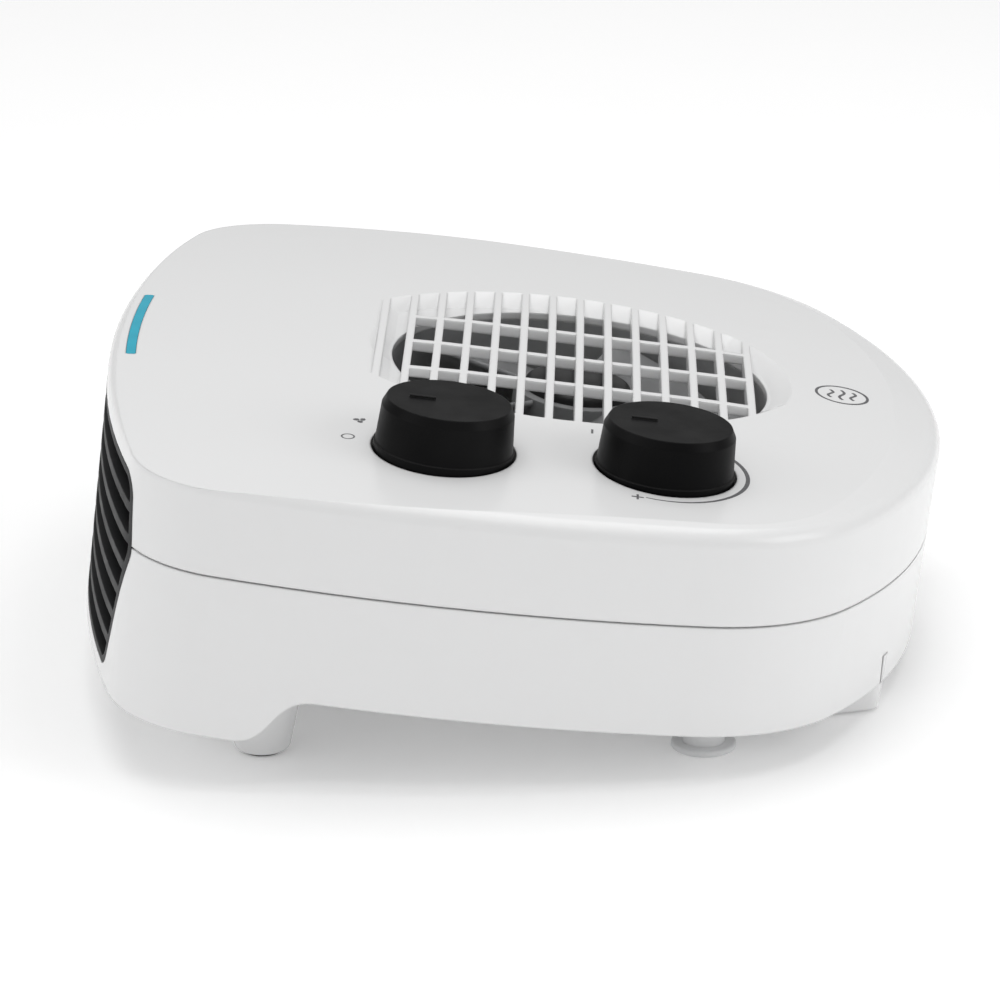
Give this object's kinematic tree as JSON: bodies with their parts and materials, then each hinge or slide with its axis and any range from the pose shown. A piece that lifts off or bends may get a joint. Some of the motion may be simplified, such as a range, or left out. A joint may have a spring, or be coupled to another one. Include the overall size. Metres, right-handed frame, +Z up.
{
  "type": "fan convector heater",
  "caption": "Low table-top fan heater with a louvred front outlet, a top intake grille, two rotary controls, a tip-over switch and short feet.",
  "frame": {"origin": "on the table under the middle of the whole object", "axes": "-Y is the front, out of the outlet; +X is the side with the controls; +Z is up, the object standing on its feet"},
  "size_m": [0.2506, 0.2392, 0.0971],
  "materials": {
    "white_case": "satin moulded white",
    "louvre_black": "matt heat-resistant black",
    "knob_black": "satin black",
    "lens_cyan": "glossy tinted lens",
    "circuit_board": "lacquered board",
    "fan_grey": "satin grey",
    "black_plastic": "matt black",
    "plated_steel": "zinc plated",
    "screw_steel": "nickel plated",
    "core_steel": "oiled laminated steel",
    "rotor_aluminium": "cast",
    "copper_wire": "enamelled winding wire",
    "brass": "turned",
    "bimetal": "rolled strip",
    "mica": "layered mica board",
    "ribbon_alloy": "oxidised resistance ribbon",
    "switch_body": "matt cream",
    "ceramic_body": "unglazed",
    "foot_rubber": "matt",
    "plunger_grey": "satin light grey"
  },
  "bodies": {
    "case": {"upper_shell": "white_case", "lower_shell": "white_case", "front_leg_left": "white_case", "front_leg_right": "white_case", "rear_foot_left": "white_case", "rear_foot_right": "white_case", "foot_pads": "foot_rubber", "outlet_louvre": "louvre_black", "indicator_lens": "lens_cyan", "indicator_board": "circuit_board", "control_plate": "plated_steel", "plate_screws": "screw_steel", "mode_switch": "switch_body", "thermostat": "ceramic_body", "bimetal_blade": "bimetal", "fan_duct": "fan_grey", "duct_screws": "screw_steel", "stator_core": "core_steel", "coil_bobbin": "black_plastic", "motor_coil": "copper_wire", "upper_bridge": "plated_steel", "lower_bridge": "plated_steel", "bearing_bushes": "brass", "motor_strap": "plated_steel", "strap_screws": "screw_steel", "motor_screws": "screw_steel", "heater_frame": "plated_steel", "mica_rack": "mica", "heating_ribbons": "ribbon_alloy", "element_screws": "screw_steel", "sensor_board": "mica", "thermal_cutout": "black_plastic", "thermal_fuse": "screw_steel", "tip_spring": "screw_steel", "switch_holder": "black_plastic", "tip_switch": "black_plastic", "cord_gland": "black_plastic", "terminal_block": "switch_body", "terminal_screws": "brass", "case_screws": "screw_steel"},
    "mode_dial": {"mode_knob": "knob_black", "mode_spindle": "black_plastic"},
    "thermostat_dial": {"thermostat_knob": "knob_black", "thermostat_spindle": "black_plastic"},
    "fan_rotor": {"fan_impeller": "fan_grey", "hub_cap": "black_plastic", "motor_shaft": "screw_steel", "rotor": "rotor_aluminium"},
    "tip_plunger": {"tip_plunger": "plunger_grey", "plunger_clip": "plunger_grey"}
  },
  "joints": [
    {"name": "mode_knob_turn", "type": "hinge", "parent": "case", "child": "mode_dial", "pos_m": [0.083, -0.01649, 0.08463], "axis": [0, 0.1172, 0.9931], "range_deg": [-270, 0]},
    {"name": "thermostat_knob_turn", "type": "hinge", "parent": "case", "child": "thermostat_dial", "pos_m": [0.079, 0.0417, 0.07776], "axis": [0, 0.1172, 0.9931], "range_deg": [-300, 0]},
    {"name": "fan_spin", "type": "hinge", "parent": "case", "child": "fan_rotor", "pos_m": [0, 0.01906, 0.08044], "axis": [0, 0.1172, 0.9931], "continuous": true},
    {"name": "tip_plunger_drop", "type": "slide", "parent": "case", "child": "tip_plunger", "axis": [0, 0, -1], "range_m": [0, 0.006], "stiffness_N_per_m": 60, "springref_m": 0.006, "deforming": ["tip_spring"]}
  ]
}
